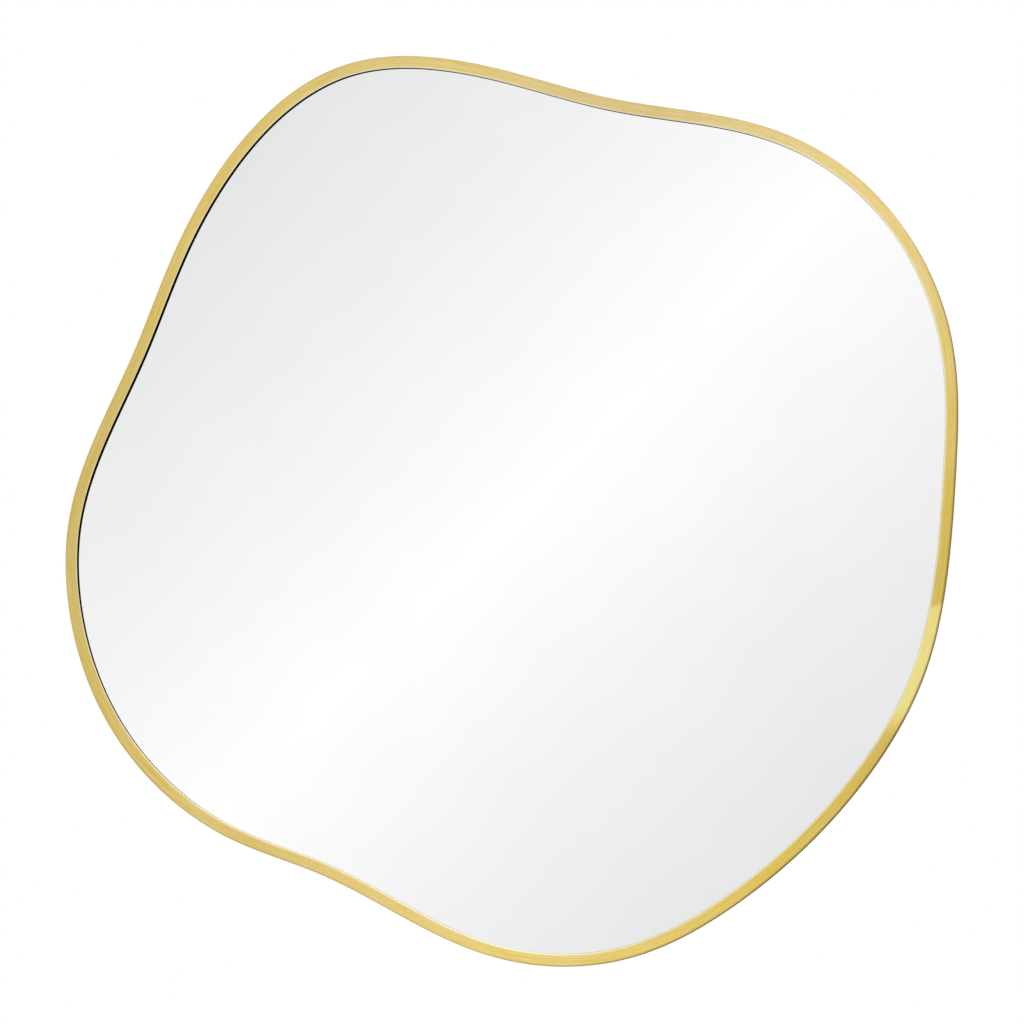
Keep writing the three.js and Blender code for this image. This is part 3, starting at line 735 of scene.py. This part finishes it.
def tab_body():
    """An L of sheet steel: a foot on the board, with a hole, and a leg up the bar's inner wall."""
    bend = 0.4 * MM
    x0, y0, t = TAB_SIDE, BOARD_BACK, TAB_THICKNESS
    side = [(x0 - TAB_REACH, y0), *arc(x0 - t - bend, y0 + t + bend, t + bend, -90, 0, 8)]
    side += [(x0, y0 + TAB_RISE), (x0 - t, y0 + TAB_RISE)]
    side += arc(x0 - t - bend, y0 + t + bend, bend, 0, -90, 5)
    side += [(x0 - TAB_REACH, y0 + t)]
    made = prism("tab_master", side, "z", -TAB_HALF, TAB_HALF)
    plan = [(x0 + 5 * MM, -TAB_HALF * 2), (x0 + 5 * MM, TAB_HALF * 2)]
    corner = 3 * MM
    plan += [(x0 - TAB_SQUARE, TAB_HALF * 2), (x0 - TAB_SQUARE, TAB_HALF)]
    far = x0 - TAB_REACH
    plan += arc(far + corner, TAB_HALF - corner, corner, 90, 180, 6)
    plan += arc(far + corner, -TAB_HALF + corner, corner, 180, 270, 6)
    plan += [(x0 - TAB_SQUARE, -TAB_HALF), (x0 - TAB_SQUARE, -TAB_HALF * 2)]
    carve(made, prism("plan", plan, "y", BOARD_BACK - 5 * MM, BOARD_BACK + 9 * MM), "INTERSECT")
    bore(made, BOARD_BACK - MM, BOARD_BACK + 4 * MM, (far + TAB_HOLE_FROM_END, 0, 0))
    soften(made, 0.15 * MM)
    return made


def bead_body():
    """Two rippled beads, one at each side of a tab's upright leg."""
    verts, faces = [], []
    sides, rows = 16, 15
    for side in (-1, 1):
        start = len(verts)
        for k in range(rows):
            share = k / (rows - 1)
            swell = math.sin(math.pi * share) ** 0.5 if 0 < share < 1 else 0.0
            ripple = 1 + 0.1 * math.cos(share * math.pi * 9)
            radius = max(0.9 * MM * swell * ripple, 0.02 * MM)
            y = BOARD_BACK + TAB_THICKNESS + 0.2 * MM + share * 2.9 * MM
            for j in range(sides):
                angle = 2 * math.pi * j / sides
                x = TAB_SIDE - 0.3 * MM + radius * math.cos(angle)
                verts.append((x, y, side * (TAB_HALF + 0.25 * MM) + radius * 1.2 * math.sin(angle)))
        for k in range(rows - 1):
            for j in range(sides):
                j1 = (j + 1) % sides
                a, b = start + k * sides, start + (k + 1) * sides
                faces.append((a + j, b + j, b + j1, a + j1))
        faces.append(tuple(start + j for j in range(sides)))
        faces.append(tuple(start + (rows - 1) * sides + j for j in range(sides - 1, -1, -1)))
    return piece("bead_master", verts, faces)


tab_master = tab_body()
tab_master.data.materials.clear()
tab_master.data.materials.append(galvanised)
bead_master = bead_body()
bead_master.data.materials.append(weld_look)
for k in range(1, 9):
    low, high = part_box(f"retaining_tab_{k}")
    place = outline.nearest(((low.x + high.x) / 2, (low.z + high.z) / 2))
    point, out = outline.at(place), outline.normals(place)
    turned = Matrix.Rotation(-math.atan2(out[1], out[0]), 4, "Y")
    where = Matrix.Translation((point[0], 0, point[1])) @ turned
    tab = copy_of(tab_master, f"tab_bracket_{k}")
    tab.matrix_world = where
    dress(tab, BODY, "galvanised_steel", f"retaining_tab_{k}")
    bead = copy_of(bead_master, f"tab_bead_{k}")
    bead.matrix_world = where
    dress(bead, BODY, "brushed_brass")
    put_screw(f"tab_fixing_{k}", wood_screw, f"tab_screw_{k}", WOOD_SCREW, 37 * k)

for k in (1, 2):
    put_screw(f"joiner_fixing_{k}", machine_screw, f"joiner_screw_{k}", JOINER_SCREW, 19 * k)


# Hangers

ROLL_INNER = RING_WIRE + RING_CLEARANCE
ROLL_OUTER = ROLL_INNER + STRAP_THICKNESS
HOLES = (24 * MM, 41 * MM)


def strap_body():
    """A strip that lies on the board, local y = 0, and rolls round the ring's wire."""
    side = [(0, -HOLES[1] - STRAP_WIDTH / 2), (0, 0)]
    side += arc(ROLL_OUTER, 0, ROLL_OUTER, 180, -100, 56)
    side += arc(ROLL_OUTER, 0, ROLL_INNER, -100, 180, 56)
    side += [(STRAP_THICKNESS, -HOLES[1] - STRAP_WIDTH / 2)]
    side = [p for p, q in zip(side, [side[-1], *side]) if math.dist(p, q) > 1e-7]
    made = prism("strap_master", side, "x", -STRAP_WIDTH / 2, STRAP_WIDTH / 2)
    plan = [(STRAP_WIDTH, 9 * MM), (-STRAP_WIDTH, 9 * MM), (-STRAP_WIDTH, -12 * MM)]
    plan += [(-STRAP_WIDTH / 2 - 0.01 * MM, -12 * MM)]
    plan += arc(0, -HOLES[1], STRAP_WIDTH / 2 + 0.005 * MM, 180, 360, 24)
    plan += [(STRAP_WIDTH / 2 + 0.01 * MM, -12 * MM), (STRAP_WIDTH, -12 * MM)]
    carve(made, prism("plan", plan, "y", -3 * MM, 12 * MM), "INTERSECT")
    for below in HOLES:
        bore(made, -MM, 3 * MM, (0, 0, -below))
    soften(made, 0.14 * MM)
    return made


RING_HALF = 12 * MM + RING_WIRE
RING_CORNER, RING_LEG = 3 * MM, 2 * MM
RING_REST_GAP = 0.3 * MM
RING_HEIGHT = RING_CORNER + RING_LEG + RING_HALF
RING_LEAN = math.asin((ROLL_OUTER - RING_WIRE - RING_REST_GAP) / RING_HEIGHT)


def ring_body():
    """Round wire bent to a D, its straight side on the X axis and its ends meeting there."""
    straight = RING_HALF - RING_CORNER
    path = [(0.2 * MM, 0), (straight * 0.5, 0)]
    path += arc(straight, RING_CORNER, RING_CORNER, -90, 0, 14)
    path += arc(0, RING_CORNER + RING_LEG, RING_HALF, 0, 180, 96)
    path += arc(-straight, RING_CORNER, RING_CORNER, 180, 270, 14)
    path += [(-straight * 0.5, 0), (-0.2 * MM, 0)]
    points = np.array(path)
    tangents = np.gradient(points, axis=0)
    tangents /= np.linalg.norm(tangents, axis=1)[:, None]
    sides = 20
    verts, faces = [], []
    for p, t in zip(points, tangents):
        for j in range(sides):
            angle = 2 * math.pi * j / sides
            across = RING_WIRE * math.cos(angle)
            verts.append((p[0] + t[1] * across, RING_WIRE * math.sin(angle), p[1] - t[0] * across))
    for k in range(len(points) - 1):
        for j in range(sides):
            j1 = (j + 1) % sides
            faces.append((k * sides + j, (k + 1) * sides + j, (k + 1) * sides + j1, k * sides + j1))
    faces.append(tuple(range(sides)))
    faces.append(tuple(range(len(points) * sides - 1, (len(points) - 1) * sides - 1, -1)))
    made = face_outward(piece("ring_master", verts, faces))
    made.data.set_sharp_from_angle(angle=math.radians(50))
    return made


strap_master, ring_master = strap_body(), ring_body()
for master, look in ((strap_master, galvanised), (ring_master, zinc)):
    master.data.materials.clear()
    master.data.materials.append(look)
for side in ("left", "right"):
    joint = next(j for j in frame["joints"] if j["child"] == f"ring_{side}")
    axis_x, axis_y, axis_z = joint["pos_m"]
    strap = copy_of(strap_master, f"strap_{side}")
    strap.location = (axis_x, BOARD_BACK, axis_z)
    dress(strap, BODY, "galvanised_steel", f"hanger_strap_{side}")
    ring = copy_of(ring_master, f"ring_wire_{side}")
    ring.matrix_world = Matrix.Translation((axis_x, axis_y, axis_z)) @ Matrix.Rotation(RING_LEAN, 4, "X")
    dress(ring, f"ring_{side}", "bright_steel", f"hanger_ring_{side}")
    for k in (1, 2):
        node, spin = f"hanger_screw_{side}_{k}", 50 * k + len(side)
        put_screw(f"hanger_fixing_{side}_{k}", wood_screw, node, WOOD_SCREW, spin)


# Bumpers


def bumper_body():
    """A round rubber foot with a rounded rim and a dimple, its contact face at y = 0."""
    radius, rim, base = 4.98 * MM, 0.9 * MM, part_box("wall_bumper_1")[0].y
    profile = [(0, base), (radius, base), (radius, base + rim)]
    profile += arc(radius - rim, -rim, rim, 0, 90, 8)
    dimple = ((2.2, 0), (1.9, -0.08), (1.5, -0.4), (0.8, -0.5), (0, -0.52))
    profile += [(across * MM, y * MM) for across, y in dimple]
    return lathe("bumper_master", profile, 48)


bumper_master = bumper_body()
bumper_master.data.set_sharp_from_angle(angle=math.radians(50))
bumper_master.data.materials.append(black_rubber)
for k in range(1, 5):
    low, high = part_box(f"wall_bumper_{k}")
    bumper = copy_of(bumper_master, f"bumper_{k}")
    bumper.location = ((low.x + high.x) / 2, 0, (low.z + high.z) / 2)
    dress(bumper, BODY, "black_rubber", f"wall_bumper_{k}")

masters = (wood_screw, machine_screw, tab_master, bead_master, strap_master, ring_master, bumper_master)
for master in masters:
    bpy.data.objects.remove(master)


# CAD nodes that stay, in finished materials

film_look = backing_paint("safety_film", "8a9092", "9ba0a2")
foam_look = backing_paint("foam_tape", "dedbd2", "efece4")
kept = {"safety_film": film_look, "backing_board": black_board("black_board"), "frame_joiner": zinc}
kept.update({f"adhesive_strip_{k}": foam_look for k in range(1, 6)})
for name, look in kept.items():
    nodes[name].data.materials.clear()
    nodes[name].data.materials.append(look)


# ---------- Stage ----------

WHITE = (1.0, 1.0, 1.0, 1.0)
FLOOR_Z = -0.80
FADE_START, FADE_END = 1.0, 4.5  # distances from the floor's middle
WORLD_LIGHT = 0.72
LAMP_WATTS = 24


def stage_plane(name, width, height, at, facing):
    """A flat card that looks along facing."""
    w, h = width / 2, height / 2
    made = piece(name, [(-w, -h, 0), (w, -h, 0), (w, h, 0), (-w, h, 0)], [(0, 1, 2, 3)], smooth=False)
    made.location = at
    made.rotation_mode = "QUATERNION"
    made.rotation_quaternion = Vector(facing).to_track_quat("Z", "Y")
    return made


def seen_only_in_gloss(made):
    """Hides an object from everything but reflections and refractions."""
    made.visible_camera = made.visible_diffuse = made.visible_shadow = made.visible_volume_scatter = False


CARD_AT = Vector((-0.246, -3.0, 0.163))
CARD_SIZE = 2.6
# Brightness against the distance from the card's bright diagonal, as shares of CARD_REACH
CARD_REACH = 1.064
CARD_FALL = (
    (0.0, (1.02, 1.02, 1.02, 1)), (0.243, (0.94, 0.94, 0.94, 1)), (0.437, (0.879, 0.879, 0.879, 1)),
    (0.632, (0.822, 0.838, 0.83, 1)), (1.0, (0.72, 0.74, 0.73, 1)),
)
CARD_SHIFT = 0.017


def gradient_card():
    """A soft card in front of the mirror, brightest along its rising diagonal, as a softbox shows in it."""
    half = CARD_SIZE / 2
    verts = [(x, 0, z) for z in (-half, half) for x in (-half, half)]
    made = piece("gradient_card", verts, [(0, 1, 3, 2)], smooth=False)
    made.location = CARD_AT
    look = bpy.data.materials.new("gradient_card")
    look.use_nodes = True
    tree = look.node_tree
    tree.nodes.clear()
    add = tree.nodes.new
    coords, split = add("ShaderNodeTexCoord"), add("ShaderNodeSeparateXYZ")
    tree.links.new(coords.outputs["Object"], split.inputs[0])
    total, shift, far, scale = (add("ShaderNodeMath") for _ in range(4))
    total.operation = shift.operation = "SUBTRACT"
    far.operation, scale.operation = "ABSOLUTE", "DIVIDE"
    tree.links.new(split.outputs["X"], total.inputs[0])
    tree.links.new(split.outputs["Z"], total.inputs[1])
    tree.links.new(total.outputs[0], shift.inputs[0])
    shift.inputs[1].default_value = CARD_SHIFT
    tree.links.new(shift.outputs[0], far.inputs[0])
    tree.links.new(far.outputs[0], scale.inputs[0])
    scale.inputs[1].default_value = CARD_REACH
    ramp = add("ShaderNodeValToRGB")
    tree.links.new(scale.outputs[0], ramp.inputs[0])
    stops = ramp.color_ramp.elements
    stops[0].position, stops[0].color = CARD_FALL[0]
    stops[1].position, stops[1].color = CARD_FALL[-1]
    for place, colour in CARD_FALL[1:-1]:
        stops.new(place).color = colour
    glow, out = add("ShaderNodeEmission"), add("ShaderNodeOutputMaterial")
    tree.links.new(ramp.outputs[0], glow.inputs["Color"])
    tree.links.new(glow.outputs[0], out.inputs["Surface"])
    made.data.materials.append(look)
    seen_only_in_gloss(made)
    return made


gradient_card()


def direct_rays(tree):
    """1 for camera, glossy and transmission rays, which see the stage as white."""
    add = tree.nodes.new
    path, either, any_ray = add("ShaderNodeLightPath"), add("ShaderNodeMath"), add("ShaderNodeMath")
    either.operation = any_ray.operation = "MAXIMUM"
    tree.links.new(path.outputs["Is Camera Ray"], either.inputs[0])
    tree.links.new(path.outputs["Is Glossy Ray"], either.inputs[1])
    tree.links.new(either.outputs[0], any_ray.inputs[0])
    tree.links.new(path.outputs["Is Transmission Ray"], any_ray.inputs[1])
    return any_ray.outputs[0]


def make_floor():
    """A pale floor that keeps the shadow near the mirror and fades to white further out."""
    made = stage_plane("floor", 60, 60, (0, 0, FLOOR_Z), (0, 0, 1))
    paint = Paint("floor", Roughness=0.7, Specular_IOR_Level=0.2)
    speckle = paint.noise(paint.place((6, 6, 6)), detail=4.0)
    paint.set(Base_Color=paint.blend(speckle, (0.86, 0.86, 0.86, 1), (0.89, 0.89, 0.89, 1)))
    reach = paint.node("ShaderNodeVectorMath", {0: paint.place((1, 1, 1))}, operation="LENGTH")
    faded = paint.ramp(reach.outputs["Value"], FADE_START, FADE_END, smooth=True)
    far = paint.calc("MULTIPLY", faded, direct_rays(paint.tree))
    glow = paint.node("ShaderNodeEmission", {"Color": WHITE, "Strength": 1.0})
    mix = paint.node("ShaderNodeMixShader", {0: far, 1: paint.shader.outputs["BSDF"], 2: glow.outputs[0]})
    paint.tree.links.new(mix.outputs[0], paint.tree.nodes["Material Output"].inputs["Surface"])
    made.data.materials.append(paint.material)


make_floor()


def make_world(dim):
    """White to the camera and in reflections, and a plain grey light on everything else."""
    world = bpy.data.worlds.new("studio")
    bpy.context.scene.world = world
    world.use_nodes = True
    tree = world.node_tree
    tree.nodes.clear()
    add = tree.nodes.new
    plain, white = add("ShaderNodeBackground"), add("ShaderNodeBackground")
    mix, out = add("ShaderNodeMixShader"), add("ShaderNodeOutputWorld")
    plain.inputs["Color"].default_value = WHITE
    plain.inputs["Strength"].default_value = dim
    white.inputs["Color"].default_value = WHITE
    white.inputs["Strength"].default_value = 1.0
    tree.links.new(direct_rays(tree), mix.inputs[0])
    tree.links.new(plain.outputs[0], mix.inputs[1])
    tree.links.new(white.outputs[0], mix.inputs[2])
    tree.links.new(mix.outputs[0], out.inputs["Surface"])


make_world(WORLD_LIGHT)


def lamp(name, at, aim, width, height, power):
    """A soft rectangular lamp that shines at a point."""
    light = bpy.data.lights.new(name, "AREA")
    light.shape, light.size, light.size_y, light.energy = "RECTANGLE", width, height, power
    made = bpy.data.objects.new(name, light)
    made.location = at
    made.rotation_mode = "QUATERNION"
    made.rotation_quaternion = (Vector(at) - Vector(aim)).to_track_quat("Z", "Y")
    bpy.context.scene.collection.objects.link(made)
    return made


lamp("overhead", (1.2, -2.4, 2.6), (0, 0, 0), 3.4, 2.2, LAMP_WATTS)
lamp("rear", (-1.8, 3.2, 1.8), (0, 0, 0), 3.4, 2.2, LAMP_WATTS)

# ---------- Camera ----------

CAMERA_AT = Vector((1.15104, -14.0, -0.76214))
LOOK_AT = Vector((0.00172, -0.024, -0.00207))
CAMERA_ROLL = math.radians(0.045)
camera_data = bpy.data.cameras.new("camera")
camera_data.lens, camera_data.sensor_width = 492.98, 36.0
camera_data.clip_start, camera_data.clip_end = 0.1, 100.0
camera = bpy.data.objects.new("camera", camera_data)
camera.location = CAMERA_AT
camera.rotation_mode = "QUATERNION"
level = (CAMERA_AT - LOOK_AT).to_track_quat("Z", "Y")
camera.rotation_quaternion = level @ Quaternion((0, 0, 1), CAMERA_ROLL)
bpy.context.scene.collection.objects.link(camera)
bpy.context.scene.camera = camera
bpy.context.scene.view_settings.view_transform = "Standard"
